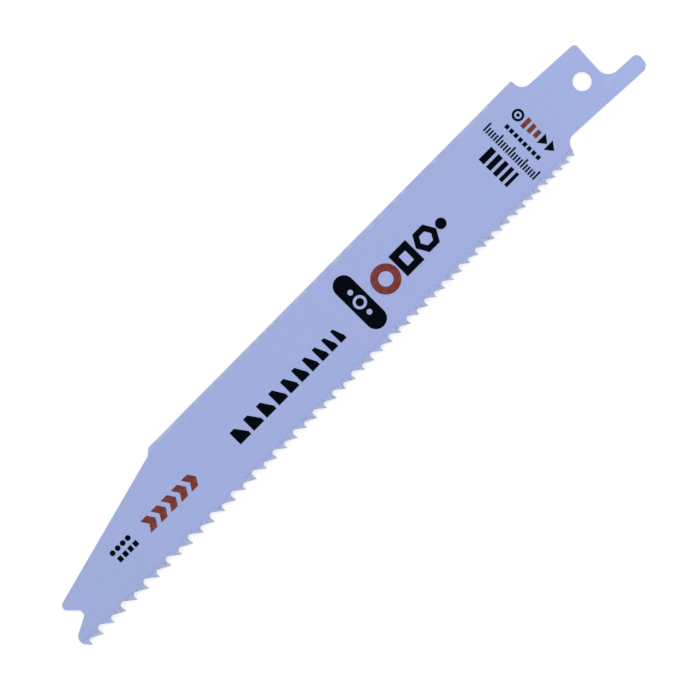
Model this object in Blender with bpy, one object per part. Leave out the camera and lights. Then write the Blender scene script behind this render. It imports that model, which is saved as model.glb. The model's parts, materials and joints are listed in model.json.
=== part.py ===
"""Reciprocating saw blade: one flat steel piece with a progressive tooth row and an angled half-inch shank.

The outline is drawn in the plane of the blade, from a datum at the nose, on the line of the tooth tips.
X runs along the teeth towards the tang, Y from the teeth to the back, and Z through the thickness. The
finished blade is moved so that its footprint's middle is at the origin and its lowest teeth are at Z = 0.
"""

import math

import bmesh
import bpy
import numpy as np

MM = 0.001

# Blade body
LENGTH = 152.4 * MM  # from the nose to the end of the tang
BLADE_WIDTH = 18.68 * MM  # from the tooth tips to the straight back
THICKNESS = 0.9 * MM
EDGE_BREAK = 0.08 * MM  # chamfer on the stamped edges, away from the teeth

# Nose, notch and tapered tip. Places are measured back from the nose, to corners before they are rounded.
NOSE_RADIUS = 1.56 * MM
NOSE_TOP_ANGLE = math.radians(26.8)  # slope of the edge from the notch down to the nose
NOTCH_PLACE = 4.21 * MM
NOTCH_FLAT = 1.13 * MM  # height of the notch's bottom, which is square to the teeth
NOTCH_RADIUS = 0.56 * MM
TIP_CUT_ANGLE = math.radians(45.4)  # slope of the edge from the tip corner down to the notch
TIP_CORNER_PLACE = 1.28 * MM
TIP_CORNER_RADIUS = 0.94 * MM
TAPER_LENGTH = 33.8 * MM  # from the nose to the foot of the step that ends the taper
TAPER_STEP = 1.04 * MM  # height of that step, up to the straight back
TAPER_STEP_ANGLE = math.radians(43.6)

# Tooth row. Every second gullet is deep, and each is cut in proportion to its own tooth space.
FIRST_TIP_PLACE = 1.3 * MM
FIRST_RELIEF_ANGLE = math.radians(47.2)  # slope of the edge from the nose down to the first tip
FIRST_SPACE_LACK = 0.22 * MM  # by how much the first tooth space is shorter than the next
COARSE_PITCH = 3.03 * MM
FINE_PITCH = 1.883 * MM
EVEN_SPACES = 4  # spaces at the coarse pitch, before they start to shrink
LAST_TOOTH_OVERRUN = 0.51 * MM  # how far the row would reach past the strip, if not cut short
RAKE_ANGLE = math.radians(8.1)
DEEP_GULLET_DEPTH = 0.598  # share of the pitch, as the three below
DEEP_GULLET_RADIUS = 0.224
SHALLOW_GULLET_DEPTH = 0.443
SHALLOW_GULLET_RADIUS = 0.191
TOOTH_SET = 0.2 * MM  # sideways bend of each tip, to the two sides in turn
BEND_CLEARANCE = 0.07 * MM  # from the bottom of the shallowest gullet to the line where the teeth are bent

# Shank and tang, measured from the pin hole along the shank, which leans down towards the line of the teeth.
HOLE_DIAMETER = 3.67 * MM
HOLE_OFFSET = -0.24 * MM  # from the middle of the blade's width to the hole
SHANK_ANGLE = math.radians(3.3)
SHANK_WIDTH = 12.54 * MM
SHANK_REACH = 3.74 * MM  # from the hole to the shank's end edge
SHANK_CORNER_RADIUS = 0.85 * MM
TANG_REACH = 11.28 * MM  # from the hole to the tang's end
TANG_WIDTH = 3.38 * MM
TANG_ROOT_RADIUS = 2.46 * MM
TANG_UPPER_RADIUS = 1.03 * MM
TANG_LOWER_RADIUS = 1.5 * MM

# Shoulders between blade and shank, measured from the pin hole along the blade.
BACK_SHOULDER = 9.39 * MM
BACK_SHOULDER_LEAN = math.radians(3.7)  # of the wall, from square to the back
BACK_SHOULDER_RADIUS = 0.2 * MM
BACK_SCALLOP_RADIUS = 2.08 * MM
TOOTH_SHOULDER = 11.05 * MM
TOOTH_SHOULDER_LEAN = math.radians(22.6)
TOOTH_SCALLOP_RADIUS = 1.9 * MM

# Fineness of the drawing
ARC_STEP = math.radians(12)
GULLET_STEP = math.radians(16)
WELD_DISTANCE = 0.001 * MM

PAINT_COLOUR = (0.356, 0.423, 0.716, 1.0)
PAINT_ROUGHNESS = 0.45


def point(x, y):
    return np.array([x, y])


def heading(angle):
    """Unit vector at an angle from +X, anticlockwise."""
    return point(math.cos(angle), math.sin(angle))


def crossing(start_a, heading_a, start_b, heading_b):
    """Point where two lines cross."""
    travel = np.linalg.solve(np.column_stack([heading_a, -heading_b]), start_b - start_a)
    return start_a + travel[0] * heading_a


def is_right_of(spot, start, along):
    """Whether a spot lies to the right of a line, seen along it."""
    offset = spot - start
    return along[0] * offset[1] - along[1] * offset[0] < 0


def arc(centre, radius, start_angle, end_angle, step=ARC_STEP):
    """Points along a circle from one angle to another, both ends included."""
    count = max(1, math.ceil(abs(end_angle - start_angle) / step))
    return [centre + radius * heading(angle) for angle in np.linspace(start_angle, end_angle, count + 1)]


def tangent_angle(spot, centre, radius, side):
    """Angle at a circle's centre of the place where a line from the spot touches it. Side 1 turns left."""
    away = spot - centre
    return math.atan2(away[1], away[0]) + side * math.acos(radius / math.hypot(*away))


def rounded_path(corners):
    """Points of a path through corners, each a (spot, radius). Roundings that would meet share their edge."""
    spots = [spot for spot, radius in corners]
    edges = [after - before for before, after in zip(spots, spots[1:])]
    turns = [0.0]
    for edge, after in zip(edges, edges[1:]):
        turns.append(math.atan2(edge[0] * after[1] - edge[1] * after[0], np.dot(edge, after)))
    turns.append(0.0)
    cuts = [radius * math.tan(abs(turn) / 2) for turn, (spot, radius) in zip(turns, corners)]
    for index, edge in enumerate(edges):
        crowding = (cuts[index] + cuts[index + 1]) / math.hypot(*edge)
        if crowding > 1:
            cuts[index] /= crowding
            cuts[index + 1] /= crowding
    path = [spots[0]]
    for index in range(1, len(spots) - 1):
        path += rounding(spots[index], edges[index - 1], turns[index], cuts[index])
    return path + [spots[-1]]


def rounding(spot, arriving, turn, cut):
    """Arc that takes the place of one corner, starting a cut's length before it."""
    if cut < WELD_DISTANCE:
        return [spot]
    along = arriving / math.hypot(*arriving)
    side = math.copysign(1, turn)
    across = side * point(-along[1], along[0])
    radius = cut / math.tan(abs(turn) / 2)
    centre = spot - cut * along + radius * across
    start_angle = math.atan2(-across[1], -across[0])
    return arc(centre, radius, start_angle, start_angle + turn)


# The shank's own frame has its origin at the pin hole, with its first axis towards the tang's end.
SHANK_ALONG = heading(-SHANK_ANGLE)
SHANK_ACROSS = heading(math.pi / 2 - SHANK_ANGLE)


def tang_end():
    """How far the tang's rounded end stands past the pin hole along the blade."""
    corner_centre = shank_spot(
        point(0, 0), TANG_REACH - TANG_UPPER_RADIUS, TANG_WIDTH - SHANK_WIDTH / 2 - TANG_UPPER_RADIUS
    )
    return corner_centre[0] + TANG_UPPER_RADIUS


def shank_spot(hole, along, across):
    return hole + along * SHANK_ALONG + across * SHANK_ACROSS


def hole_centre():
    return point(LENGTH - tang_end(), BLADE_WIDTH / 2 + HOLE_OFFSET)


def tooth_shoulder_line():
    """Foot and heading of the edge that ends the toothed strip."""
    foot = point(hole_centre()[0] - TOOTH_SHOULDER, 0)
    return foot, heading(math.pi / 2 - TOOTH_SHOULDER_LEAN)


def tooth_tips():
    """Places of the tips along the blade. After the even spaces, each space is one step shorter."""
    foot, _ = tooth_shoulder_line()
    row_start = FIRST_TIP_PLACE - FIRST_SPACE_LACK
    run = foot[0] + LAST_TOOTH_OVERRUN - row_start
    shrinking_run = run - EVEN_SPACES * COARSE_PITCH
    shrinking_spaces = round(2 * shrinking_run / (COARSE_PITCH + FINE_PITCH))
    steps_in_all = shrinking_spaces * (shrinking_spaces - 1) / 2
    step = (shrinking_spaces * COARSE_PITCH - shrinking_run) / steps_in_all
    tips = [row_start]
    for space in range(EVEN_SPACES + shrinking_spaces):
        tips.append(tips[-1] + COARSE_PITCH - step * max(0, space - EVEN_SPACES))
    return [FIRST_TIP_PLACE] + tips[1:]


def gullet_form(space):
    """Depth and radius of a gullet, as shares of its pitch."""
    if space % 2:
        return DEEP_GULLET_DEPTH, DEEP_GULLET_RADIUS
    return SHALLOW_GULLET_DEPTH, SHALLOW_GULLET_RADIUS


def gullet_bottom(tips, space):
    """Centre and radius of the round bottom of the gullet between a tip and the next."""
    pitch = tips[space + 1] - tips[space]
    depth_share, radius_share = gullet_form(space)
    radius = radius_share * pitch
    height = depth_share * pitch - radius
    behind_rake_face = radius / math.cos(RAKE_ANGLE) - height * math.tan(RAKE_ANGLE)
    return point(tips[space] + behind_rake_face, height), radius


def tooth_row():
    """Points of the tooth row from the first tip to the shoulder, which cuts the last tooth short."""
    tips = tooth_tips()
    row = [point(tips[0], 0)]
    for space in range(len(tips) - 1):
        centre, radius = gullet_bottom(tips, space)
        next_tip = point(tips[space + 1], 0)
        relief_start = tangent_angle(next_tip, centre, radius, side=1)
        row += arc(centre, radius, math.pi + RAKE_ANGLE, relief_start, GULLET_STEP)
        row.append(next_tip)
    foot, upwards = tooth_shoulder_line()
    kept = next(index for index, spot in enumerate(row) if is_right_of(spot, foot, upwards))
    return row[:kept] + [crossing(row[kept - 1], row[kept] - row[kept - 1], foot, upwards)]


def shank_corners():
    """Corners from the tooth-side shoulder round the shank and tang to the back."""
    hole = hole_centre()
    lower = -SHANK_WIDTH / 2
    foot, upwards = tooth_shoulder_line()
    lower_tang_corner = shank_spot(hole, TANG_REACH, lower)
    upper_shank_corner = shank_spot(hole, SHANK_REACH, SHANK_WIDTH / 2)
    back_corner = point(hole[0] - BACK_SHOULDER, BLADE_WIDTH)
    wall_heading = heading(BACK_SHOULDER_LEAN - math.pi / 2)
    return [
        (crossing(foot, upwards, lower_tang_corner, SHANK_ALONG), TOOTH_SCALLOP_RADIUS),
        (lower_tang_corner, TANG_LOWER_RADIUS),
        (shank_spot(hole, TANG_REACH, lower + TANG_WIDTH), TANG_UPPER_RADIUS),
        (shank_spot(hole, SHANK_REACH, lower + TANG_WIDTH), TANG_ROOT_RADIUS),
        (upper_shank_corner, SHANK_CORNER_RADIUS),
        (crossing(back_corner, wall_heading, upper_shank_corner, SHANK_ALONG), BACK_SCALLOP_RADIUS),
        (back_corner, BACK_SHOULDER_RADIUS),
    ]


def nose_centre():
    """Centre of the nose, whose arc touches the blade's end and the first tooth's relief edge."""
    ahead = NOSE_RADIUS - FIRST_TIP_PLACE
    height = (NOSE_RADIUS - ahead * math.sin(FIRST_RELIEF_ANGLE)) / math.cos(FIRST_RELIEF_ANGLE)
    return point(NOSE_RADIUS, height)


def nose_arc():
    """Arc of the nose, from the edge under the notch to the first tooth's relief edge."""
    start = math.pi / 2 + NOSE_TOP_ANGLE
    end = 3 * math.pi / 2 - FIRST_RELIEF_ANGLE
    return arc(nose_centre(), NOSE_RADIUS, start, end)


def tip_corners(nose_start):
    """Corners from the straight back, down the taper and into the notch, up to the start of the nose."""
    nose_top = heading(NOSE_TOP_ANGLE)
    notch = nose_start + nose_top * (NOTCH_PLACE - nose_start[0]) / nose_top[0]
    notch_top = notch + point(0, NOTCH_FLAT)
    rise = (NOTCH_PLACE - TIP_CORNER_PLACE) * math.tan(TIP_CUT_ANGLE)
    step_foot = point(TAPER_LENGTH, BLADE_WIDTH - TAPER_STEP)
    return [
        (step_foot + point(TAPER_STEP / math.tan(TAPER_STEP_ANGLE), TAPER_STEP), 0),
        (step_foot, 0),
        (point(TIP_CORNER_PLACE, notch_top[1] + rise), TIP_CORNER_RADIUS),
        (notch_top, NOTCH_RADIUS),
        (notch, NOTCH_RADIUS),
    ]


def outline():
    """The blade's whole edge, anticlockwise from the first tooth tip."""
    row = tooth_row()
    nose = nose_arc()
    corners = shank_corners() + tip_corners(nose[0])
    plain_edge = rounded_path([(row[-1], 0)] + corners + [(nose[0], 0)])
    return row + plain_edge[1:] + nose[1:]


def hole_outline():
    return arc(hole_centre(), HOLE_DIAMETER / 2, 0, 2 * math.pi, ARC_STEP / 2)[:-1]


def flat_plate(name, outlines, thickness):
    """Mesh object of a flat plate. The first outline is its edge, and the others are holes through it."""
    curve = bpy.data.curves.new(name + "_outline", "CURVE")
    curve.dimensions = "2D"
    curve.fill_mode = "BOTH"
    curve.extrude = thickness / 2
    for spots in outlines:
        spline = curve.splines.new("POLY")
        spline.points.add(len(spots) - 1)
        spline.points.foreach_set("co", [value for x, y in spots for value in (x, y, 0, 1)])
        spline.use_cyclic_u = True
    drawing = bpy.data.objects.new(name + "_outline", curve)
    bpy.context.scene.collection.objects.link(drawing)
    graph = bpy.context.evaluated_depsgraph_get()
    mesh = bpy.data.meshes.new_from_object(drawing.evaluated_get(graph))
    mesh.name = name
    edit = bmesh.new()
    edit.from_mesh(mesh)
    bmesh.ops.remove_doubles(edit, verts=edit.verts, dist=WELD_DISTANCE)
    bmesh.ops.recalc_face_normals(edit, faces=edit.faces)
    edit.to_mesh(mesh)
    edit.free()
    plate = bpy.data.objects.new(name, mesh)
    plate.matrix_world = drawing.matrix_world
    bpy.data.objects.remove(drawing)
    return plate


def each_once(parts):
    """The parts in their order, without those that come again."""
    return list(dict.fromkeys(parts))


def rise(face):
    """Height from the lowest vertex of a face to its highest."""
    heights = [vertex.co.z for vertex in face.verts]
    return max(heights) - min(heights)


def bend_height():
    """Height of the line where the teeth are bent, just below the bottom of the shallowest gullet."""
    tips = tooth_tips()
    finest_pitch = tips[-1] - tips[-2]
    return SHALLOW_GULLET_DEPTH * finest_pitch - BEND_CLEARANCE


def cut_along(edit, geometry, place, square_to):
    """Cuts geometry along a plane without parting it, and returns what it became."""
    cut = bmesh.ops.bisect_plane(edit, geom=geometry, dist=WELD_DISTANCE, plane_co=place, plane_no=square_to)
    return cut["geom"]


def stamped_walls(edit):
    """The plate's walls round its edge and its hole, but for those of the tooth row."""
    row = [nose_arc()[-1]] + tooth_row()
    tooth_middles = np.array([(before + after) / 2 for before, after in zip(row, row[1:])])
    walls = []
    for face in edit.faces:
        offsets = tooth_middles - point(*face.calc_center_median().xy)
        if rise(face) > WELD_DISTANCE and np.hypot(*offsets.T).min() > WELD_DISTANCE:
            walls.append(face)
    return walls


def rim_moves(walls):
    """Vertices between these walls and the flat faces, each with its way in to the broken edge."""
    moves = {}
    for vertex in each_once(vertex for wall in walls for vertex in wall.verts):
        meeting = [face for face in vertex.link_faces if rise(face) > WELD_DISTANCE]
        if all(face in walls for face in meeting):
            before, after = [face.normal.copy() for face in meeting]
            moves[vertex] = -EDGE_BREAK * (before + after) / (1 + before.dot(after))
    return moves


def merge_flat_faces(edit):
    """Makes one face of each tooth's flat side, and two of the plate's, which meet across the hole."""
    middle_line = hole_centre()[0]
    regions = {"teeth": [], "body": [], "shank": []}
    for face in edit.faces:
        middle = face.calc_center_median()
        region = "body" if middle.x < middle_line else "shank"
        if middle.y < bend_height():
            region = "teeth"
        if rise(face) < WELD_DISTANCE:
            regions[region].append(face)
    for faces in regions.values():
        bmesh.ops.dissolve_faces(edit, faces=faces)


def set_teeth(edit):
    """Bends the teeth to the two sides in turn."""
    tips = tooth_tips()
    gullets = [gullet_bottom(tips, space)[0][0] for space in range(len(tips) - 1)]
    for vertex in edit.verts:
        below_bend = bend_height() - vertex.co.y
        if below_bend > 0:
            tooth = int(np.searchsorted(gullets, vertex.co.x))
            side = -1 if tooth % 2 else 1
            vertex.co.z += side * TOOTH_SET * below_bend / bend_height()


def finish_plate(mesh):
    """Breaks the plate's stamped edges and bends its teeth."""
    edit = bmesh.new()
    edit.from_mesh(mesh)
    walls = stamped_walls(edit)
    moves = rim_moves(walls)
    around = each_once(part for wall in walls for part in (wall, *wall.edges, *wall.verts))
    for side in (-1, 1):
        broken_to = side * (THICKNESS / 2 - EDGE_BREAK)
        around = cut_along(edit, around, place=(0, 0, broken_to), square_to=(0, 0, 1))
    for place, square_to in (((0, bend_height(), 0), (0, 1, 0)), ((hole_centre()[0], 0, 0), (1, 0, 0))):
        cut_along(edit, [*edit.verts, *edit.edges, *edit.faces], place, square_to)
    merge_flat_faces(edit)
    for vertex, move in moves.items():
        vertex.co += move
    set_teeth(edit)
    edit.to_mesh(mesh)
    edit.free()


def rest_on_ground(blade):
    """Puts the middle of the blade's footprint at the origin and its lowest teeth at Z = 0."""
    corners = np.array([vertex.co for vertex in blade.data.vertices])
    low = corners.min(axis=0)
    high = corners.max(axis=0)
    blade.location = (-(low[0] + high[0]) / 2, -(low[1] + high[1]) / 2, -low[2])


def painted_steel():
    material = bpy.data.materials.new("painted_steel")
    material.use_nodes = True
    shader = material.node_tree.nodes["Principled BSDF"]
    shader.inputs["Base Color"].default_value = PAINT_COLOUR
    shader.inputs["Roughness"].default_value = PAINT_ROUGHNESS
    shader.inputs["Metallic"].default_value = 0.0
    return material


def make_blade(collection):
    blade = flat_plate("blade", [outline(), hole_outline()], THICKNESS)
    collection.objects.link(blade)
    finish_plate(blade.data)
    even_triangles = blade.modifiers.new("even_triangles", "TRIANGULATE")
    even_triangles.ngon_method = "BEAUTY"
    rest_on_ground(blade)
    blade.data.shade_smooth()
    blade.data.set_sharp_from_angle(angle=math.radians(30))
    blade.data.materials.append(painted_steel())


def main():
    for existing in list(bpy.data.objects):
        bpy.data.objects.remove(existing)
    collection = bpy.data.collections.new("reciprocating_saw_blade")
    bpy.context.scene.collection.children.link(collection)
    make_blade(collection)


main()
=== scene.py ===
"""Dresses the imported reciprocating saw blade: its satin paint, the generic print on its upper side, and
a pale studio seen from straight above.

Places and sizes are in millimetres in the blade's own frame: X from the nose to the tang, Y from the
teeth to the back, Z up out of the printed face, with the origin under the middle of the blade.
"""
import json
import math

import bmesh
import bpy
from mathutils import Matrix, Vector


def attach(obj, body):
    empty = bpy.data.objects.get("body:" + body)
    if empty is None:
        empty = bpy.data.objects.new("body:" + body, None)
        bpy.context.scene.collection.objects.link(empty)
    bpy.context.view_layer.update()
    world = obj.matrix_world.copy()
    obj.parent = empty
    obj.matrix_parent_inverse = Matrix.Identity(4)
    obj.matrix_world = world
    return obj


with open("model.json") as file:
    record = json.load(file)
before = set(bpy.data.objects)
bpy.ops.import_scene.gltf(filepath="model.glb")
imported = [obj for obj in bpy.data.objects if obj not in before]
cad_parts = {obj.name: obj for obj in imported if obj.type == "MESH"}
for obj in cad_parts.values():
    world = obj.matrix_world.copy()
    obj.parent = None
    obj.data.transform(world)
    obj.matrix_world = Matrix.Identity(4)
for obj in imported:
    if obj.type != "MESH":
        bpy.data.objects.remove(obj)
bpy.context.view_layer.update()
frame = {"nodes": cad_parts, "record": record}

MM = 0.001
WHITE = (1.0, 1.0, 1.0, 1.0)

# Ink: the height of the face that it lies on, how far it sinks in and stands out, and its finest detail
mounts = {mount["name"]: mount for mount in frame["record"]["mounts"]}
TOP_FACE = mounts["shank_upper_face"]["pos_m"][2] / MM
INK_SINK = 0.005
INK_THICKNESS = 0.02
WELD_DISTANCE = 0.0005
CIRCLE_POINTS = 40

# Print: the line along the blade and the column across it that several marks share
MIDDLE_LINE = -0.1
MARK_COLUMN = 52.15

# Camera: the middle of its view, how much it sees, and its turn about the vertical
VIEW_CENTRE = (-1.5, -4.71)
VIEW_WIDTH = 131.72
VIEW_TURN = math.radians(-45.315)
CAMERA_DISTANCE = 1000.0
SENSOR_WIDTH = 36.0

# Studio: the floor, its grey under the lights and the glow added to it, the sky and two square lights
FLOOR_REACH = 2000.0
FLOOR_BASE = 0.48
FLOOR_GLOW = 0.635
SKY_STRENGTH = 0.485
SOFTBOX_SIZE = 1000.0
KEY_PLACE = (550.0, 250.0, 950.0)
KEY_POWER = 6.2
FILL_PLACE = (-700.0, -300.0, 1000.0)
FILL_POWER = 4.1


# Materials

class Nodes:
    """Builds a material's node tree with few words. Colours and amounts are plain values or sockets."""

    def __init__(self, name):
        self.material = bpy.data.materials.new(name)
        self.material.use_nodes = True
        self.tree = self.material.node_tree
        self.shader = self.tree.nodes["Principled BSDF"]

    def new(self, kind, **settings):
        node = self.tree.nodes.new(kind)
        for name, value in settings.items():
            setattr(node, name, value)
        return node

    def feed(self, target, value):
        """Links a socket to an input, or sets the input to a plain value."""
        if isinstance(value, bpy.types.NodeSocket):
            self.tree.links.new(value, target)
        else:
            target.default_value = value

    def shade(self, name, value):
        """Sets one of the shader's inputs."""
        self.feed(self.shader.inputs[name], value)

    def coordinate(self):
        return self.new("ShaderNodeTexCoord").outputs["Object"]

    def axis(self, name):
        node = self.new("ShaderNodeSeparateXYZ")
        self.feed(node.inputs["Vector"], self.coordinate())
        return node.outputs[name]

    def noise(self, per_mm, detail=2.0, roughness=0.5):
        """Noise in space, with its scale in lumps per millimetre."""
        node = self.new("ShaderNodeTexNoise")
        self.feed(node.inputs["Scale"], per_mm / MM)
        self.feed(node.inputs["Detail"], detail)
        self.feed(node.inputs["Roughness"], roughness)
        self.feed(node.inputs["Vector"], self.coordinate())
        return node.outputs["Fac"]

    def ramp(self, source, low, high, to_low, to_high):
        """Maps one range onto another, smoothly and with its ends held."""
        node = self.new("ShaderNodeMapRange", interpolation_type="SMOOTHSTEP")
        for name, value in (("From Min", low), ("From Max", high), ("To Min", to_low), ("To Max", to_high)):
            self.feed(node.inputs[name], value)
        self.feed(node.inputs["Value"], source)
        return node.outputs["Result"]

    def band(self, axis, bare, full, strength=1.0):
        """Amount that goes from 0 at one place on an axis to its strength at another."""
        return self.ramp(self.axis(axis), bare * MM, full * MM, 0.0, strength)

    def patches(self, per_mm, low, high, strength=1.0, detail=2.0, roughness=0.5):
        """Amount that goes from 0 where the noise is low to its strength where it is high."""
        return self.ramp(self.noise(per_mm, detail, roughness), low, high, 0.0, strength)

    def combine(self, operation, first, second):
        node = self.new("ShaderNodeMath", operation=operation)
        self.feed(node.inputs[0], first)
        self.feed(node.inputs[1], second)
        return node.outputs["Value"]

    def mix_colour(self, amount, first, second):
        """Mixes two colours. The mix node's colour sockets are its third pair."""
        node = self.new("ShaderNodeMix", data_type="RGBA")
        self.feed(node.inputs[0], amount)
        self.feed(node.inputs[6], first)
        self.feed(node.inputs[7], second)
        return node.outputs[2]

    def bump(self, height, depth, strength):
        """Fine relief, with its depth in millimetres."""
        node = self.new("ShaderNodeBump")
        self.feed(node.inputs["Distance"], depth * MM)
        self.feed(node.inputs["Strength"], strength)
        self.feed(node.inputs["Height"], height)
        self.shade("Normal", node.outputs["Normal"])


def paint():
    """Satin powder-blue paint.

    It is a little deeper at the nose and paler at the tang, partly its own tone and partly painted light
    that is brighter toward the tang, with slow lilac clouds and dull streaks.
    It is worn pale at the tooth tips and here and there along the back, with small dark specks by the
    teeth.
    """
    made = Nodes("blade_paint")
    # The nose, middle and tang tones are partly the paint's own tone and partly painted light: the nose
    # painted deeper as painted shade, the tang painted paler as if lit brighter.
    nose = (0.320, 0.412, 0.686, 1.0)
    middle = (0.328, 0.406, 0.723, 1.0)
    tang = (0.344, 0.440, 0.772, 1.0)
    lilac = (0.352, 0.400, 0.740, 1.0)
    dull = (0.305, 0.380, 0.650, 1.0)
    worn = (0.520, 0.535, 0.640, 1.0)
    speck = (0.215, 0.265, 0.410, 1.0)

    # Painted light along the blade: the painted shade at the nose fades out past it, and the painted
    # brightening rises toward the tang.
    past_nose_tone_and_shade = made.band("X", bare=-68, full=-35)
    near_tang_tone_and_light = made.band("X", bare=51, full=73)
    clouds = made.patches(per_mm=0.13, low=0.38, high=0.64, strength=0.75, detail=4.0, roughness=0.6)
    streaks = made.patches(per_mm=0.9, low=0.38, high=0.66, strength=0.3, detail=3.0)
    tooth_wear = made.band("Y", bare=-7.6, full=-9.4, strength=0.8)
    back_wear = made.combine(
        "MULTIPLY",
        made.band("Y", bare=8.3, full=9.4, strength=0.7),
        made.patches(per_mm=0.7, low=0.45, high=0.65),
    )
    specks = made.combine(
        "MULTIPLY",
        made.band("Y", bare=-6.8, full=-8.0),
        made.patches(per_mm=1.9, low=0.49, high=0.66, strength=0.6),
    )

    colour = made.mix_colour(past_nose_tone_and_shade, nose, middle)
    for amount, tone in (
        (near_tang_tone_and_light, tang), (clouds, lilac), (streaks, dull),
        (tooth_wear, worn), (back_wear, worn), (specks, speck),
    ):
        colour = made.mix_colour(amount, colour, tone)
    made.shade("Base Color", colour)
    sheen = made.ramp(made.noise(per_mm=0.35), low=0.3, high=0.7, to_low=0.40, to_high=0.50)
    made.shade("Roughness", sheen)
    made.bump(made.noise(per_mm=2.6, detail=3.0), depth=0.02, strength=0.35)
    return made.material


def ink(name, dark, pale):
    """Matt printed ink with slightly uneven cover."""
    made = Nodes(name)
    cover = made.patches(per_mm=1.4, low=0.3, high=0.75, detail=4.0, roughness=0.65)
    made.shade("Base Color", made.mix_colour(cover, dark, pale))
    made.shade("Roughness", 0.6)
    made.shade("Specular IOR Level", 0.01)
    made.bump(made.noise(per_mm=5.0), depth=0.004, strength=0.3)
    return made.material


def black_ink():
    return ink("black_ink", dark=(0.0008, 0.0016, 0.0036, 1.0), pale=(0.0020, 0.0036, 0.0080, 1.0))


def red_ink():
    return ink("red_ink", dark=(0.158, 0.030, 0.025, 1.0), pale=(0.222, 0.062, 0.052, 1.0))


def floor_white():
    """White that takes a shadow. Its glow is seen by the camera and in reflections, and lights nothing."""
    made = Nodes("floor_white")
    made.shade("Base Color", (FLOOR_BASE, FLOOR_BASE, FLOOR_BASE, 1.0))
    made.shade("Roughness", 0.9)
    made.shade("Specular IOR Level", 0.1)
    made.shade("Emission Color", WHITE)
    path = made.new("ShaderNodeLightPath")
    seen = path.outputs["Is Camera Ray"]
    for kind in ("Is Glossy Ray", "Is Transmission Ray"):
        seen = made.combine("MAXIMUM", seen, path.outputs[kind])
    made.shade("Emission Strength", made.combine("MULTIPLY", seen, FLOOR_GLOW))
    return made.material


# Shapes of the print, as loops of points. A loop inside another is a hole in it.

def block(x, y, width, height):
    """Rectangle about its middle."""
    w, h = width / 2, height / 2
    return [(x - w, y - h), (x + w, y - h), (x + w, y + h), (x - w, y + h)]


def round_loop(x, y, radius, points=CIRCLE_POINTS):
    """Regular polygon about its middle, round when it has many points."""
    turns = [2 * math.pi * step / points for step in range(points)]
    return [(x + radius * math.cos(turn), y + radius * math.sin(turn)) for turn in turns]


def ring(x, y, radius, wall, points=CIRCLE_POINTS):
    return [round_loop(x, y, radius, points), round_loop(x, y, radius - wall, points)]


def open_block(x, y, width, height, wall):
    return [block(x, y, width, height), block(x, y, width - 2 * wall, height - 2 * wall)]


def pill(x, y, width, height):
    """Upright field with round ends."""
    radius, rise = width / 2, (height - width) / 2
    half = CIRCLE_POINTS // 2
    spots = []
    for end in (1, -1):
        for step in range(half + 1):
            turn = math.pi * step / half
            spots.append((x + end * radius * math.cos(turn), y + end * (rise + radius * math.sin(turn))))
    return spots


def chevron(x, y, width, height, stroke):
    """Arrow head that points along X, with its middle at x."""
    left, right = x - width / 2, x + width / 2
    top, bottom = y + height / 2, y - height / 2
    return [
        (left, bottom), (left + stroke, bottom), (right, y),
        (left + stroke, top), (left, top), (right - stroke, y),
    ]


def triangle(x, y, width, height):
    """Triangle that points to the teeth."""
    return [(x - width / 2, y + height / 2), (x, y - height / 2), (x + width / 2, y + height / 2)]


# Groups of the print, from the nose to the shank

def nose_marks():
    """Four dots over four squares."""
    count, pitch = 4, 1.35
    dot_x, dot_y, dot_radius = -60.1, 0.15, 0.55
    square_x, square_y, width, height = -59.8, -1.65, 0.95, 1.1
    dots = [round_loop(dot_x + pitch * number, dot_y, dot_radius) for number in range(count)]
    squares = [block(square_x + pitch * number, square_y, width, height) for number in range(count)]
    return dots + squares


def arrow_heads():
    """Row of arrow heads that point to the shank."""
    count, pitch, x, y = 5, 2.72, -50.95, -0.85
    width, height, stroke = 2.6, 2.95, 1.65
    return [chevron(x + pitch * number, y, width, height, stroke) for number in range(count)]


def pitch_scale():
    """Row of wedges, each narrower than the last, as the blade's tooth spaces are."""
    count, x = 10, -28.6
    coarse, fine, gap = 3.6, 2.22, 0.75
    low, high, toe, flat_share = -2.6, 0.4, 0.75, 0.42
    wedges = []
    for number in range(count):
        pitch = coarse - (coarse - fine) * number / (count - 1)
        width = pitch - gap
        wedges.append([
            (x, low), (x + width, low), (x + width, low + toe), (x + flat_share * width, high), (x, high),
        ])
        x += pitch
    return wedges


def badge():
    """Dark field across the blade, with a ring between two dots left bare in it."""
    x, y, width, height = 6.2, 0.3, 4.2, 12.7
    ring_radius, ring_wall = 1.35, 0.55
    dot_radius, dot_offset = 0.55, 2.55
    dots = [round_loop(x, y + offset, dot_radius) for offset in (dot_offset, -dot_offset)]
    return [pill(x, y, width, height)] + ring(x, y, ring_radius, ring_wall) + dots


def round_tube():
    """Cross-section of a round tube."""
    return ring(x=12.75, y=MIDDLE_LINE, radius=2.95, wall=1.5)


def sections():
    """Cross-sections of a square tube, a six-sided tube and a rod."""
    square_tube = open_block(x=18.25, y=MIDDLE_LINE, width=4.5, height=5.2, wall=1.4)
    six_sided_tube = ring(x=23.5, y=MIDDLE_LINE, radius=2.7, wall=1.35, points=6)
    rod = round_loop(x=27.45, y=MIDDLE_LINE, radius=1.1)
    return square_tube + six_sided_tube + [rod]


def graded_bars():
    """Column of bars that lie along the blade, each thinner than the last."""
    x, y, width, gap = 42.7, 3.3, 3.4, 0.6
    bars = []
    for height in (1.35, 1.15, 1.0, 0.85, 0.7):
        bars.append(block(x, y - height / 2, width, height))
        y -= height + gap
    return bars


def ruler_ticks():
    """Column of a ruler's ticks, every fifth one longer."""
    count, pitch, left, top = 21, 0.65, 45.45, 6.45
    short, long, height = 1.4, 2.1, 0.36
    ticks = []
    for number in range(count):
        width = long if number % 5 == 0 else short
        ticks.append(block(left + width / 2, top - pitch * number, width, height))
    return ticks


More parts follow.
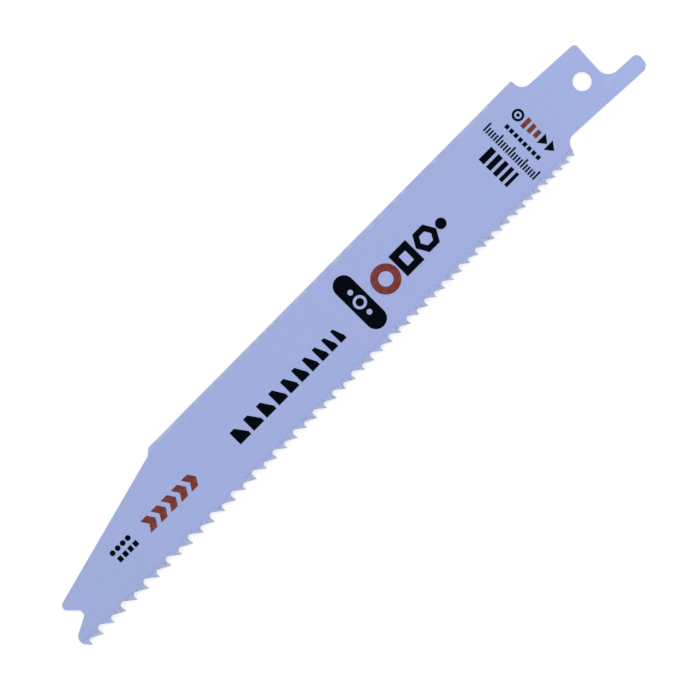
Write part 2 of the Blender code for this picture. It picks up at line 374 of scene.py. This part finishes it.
def dashes():
    """Column of small blocks."""
    count, pitch, x, top = 8, 1.17, 49.15, 3.8
    width, height = 0.85, 0.8
    return [block(x, top - pitch * number, width, height) for number in range(count)]


def target():
    """Ring with a dot in it."""
    y, radius, wall, dot_radius = 3.9, 1.2, 0.48, 0.34
    return ring(MARK_COLUMN, y, radius, wall) + [round_loop(MARK_COLUMN, y, dot_radius)]


def shrinking_bars():
    """Column of bars that lie along the blade, each shorter than the last."""
    count, pitch, top, height = 3, 1.45, 1.75, 0.9
    width, loss = 2.3, 0.35
    return [
        block(MARK_COLUMN, top - pitch * number, width - loss * number, height)
        for number in range(count)
    ]


def triangles():
    """Column of triangles that point to the teeth."""
    count, pitch, top = 2, 1.85, -3.05
    width, height = 2.5, 1.6
    return [triangle(MARK_COLUMN, top - pitch * number, width, height) for number in range(count)]


def black_shapes():
    shank_marks = graded_bars() + ruler_ticks() + dashes() + target() + triangles()
    return nose_marks() + pitch_scale() + badge() + sections() + shank_marks


def red_shapes():
    return arrow_heads() + round_tube() + shrinking_bars()


def add_print(name, loops, material):
    """Closed solid of ink lying on the blade's upper face."""
    bottom = TOP_FACE - INK_SINK
    top = TOP_FACE + INK_THICKNESS
    curve = bpy.data.curves.new(name, "CURVE")
    curve.dimensions = "2D"
    curve.fill_mode = "BOTH"
    curve.extrude = (top - bottom) / 2
    for spots in loops:
        spline = curve.splines.new("POLY")
        spline.points.add(len(spots) - 1)
        spline.points.foreach_set("co", [value for x, y in spots for value in (x, y, 0, 1)])
        spline.use_cyclic_u = True
    drawing = bpy.data.objects.new(name + "_drawing", curve)
    bpy.context.scene.collection.objects.link(drawing)
    graph = bpy.context.evaluated_depsgraph_get()
    mesh = bpy.data.meshes.new_from_object(drawing.evaluated_get(graph))
    bpy.data.objects.remove(drawing)

    edit = bmesh.new()
    edit.from_mesh(mesh)
    bmesh.ops.remove_doubles(edit, verts=edit.verts, dist=WELD_DISTANCE)
    bmesh.ops.recalc_face_normals(edit, faces=edit.faces)
    for vertex in edit.verts:
        vertex.co = Vector((vertex.co.x, vertex.co.y, vertex.co.z + (top + bottom) / 2)) * MM
    edit.to_mesh(mesh)
    edit.free()

    mesh.materials.clear()
    mesh.materials.append(material)
    piece = bpy.data.objects.new(name, mesh)
    bpy.context.scene.collection.objects.link(piece)
    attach(piece, "root")


# Studio

def add_floor():
    edit = bmesh.new()
    bmesh.ops.create_grid(edit, x_segments=1, y_segments=1, size=FLOOR_REACH * MM)
    mesh = bpy.data.meshes.new("floor")
    edit.to_mesh(mesh)
    edit.free()
    mesh.materials.append(floor_white())
    floor = bpy.data.objects.new("floor", mesh)
    bpy.context.scene.collection.objects.link(floor)


def add_sky():
    world = bpy.data.worlds.new("studio")
    world.use_nodes = True
    background = world.node_tree.nodes["Background"]
    background.inputs["Color"].default_value = WHITE
    background.inputs["Strength"].default_value = SKY_STRENGTH
    bpy.context.scene.world = world


def add_softbox(name, place, power):
    """Square light that faces the blade."""
    light = bpy.data.lights.new(name, "AREA")
    light.size = SOFTBOX_SIZE * MM
    light.energy = power
    box = bpy.data.objects.new(name, light)
    box.location = Vector(place) * MM
    box.rotation_euler = (-Vector(place)).to_track_quat("-Z", "Y").to_euler()
    bpy.context.scene.collection.objects.link(box)


def add_camera():
    """Looks straight down on the printed face, with the nose at the lower left and the tang at the top."""
    data = bpy.data.cameras.new("camera")
    data.sensor_width = SENSOR_WIDTH
    data.lens = SENSOR_WIDTH * CAMERA_DISTANCE / VIEW_WIDTH
    camera = bpy.data.objects.new("camera", data)
    camera.location = Vector((*VIEW_CENTRE, TOP_FACE + CAMERA_DISTANCE)) * MM
    camera.rotation_euler = (0.0, 0.0, VIEW_TURN)
    bpy.context.scene.collection.objects.link(camera)
    bpy.context.scene.camera = camera


# The dressed blade in its studio

blade = frame["nodes"]["blade"]
blade_paint = paint()
for material_slot in blade.material_slots:
    material_slot.material = blade_paint
add_print("print_black", black_shapes(), black_ink())
add_print("print_red", red_shapes(), red_ink())

add_floor()
add_sky()
add_softbox("key", KEY_PLACE, KEY_POWER)
add_softbox("fill", FILL_PLACE, FILL_POWER)
add_camera()
bpy.context.scene.view_settings.view_transform = "Standard"
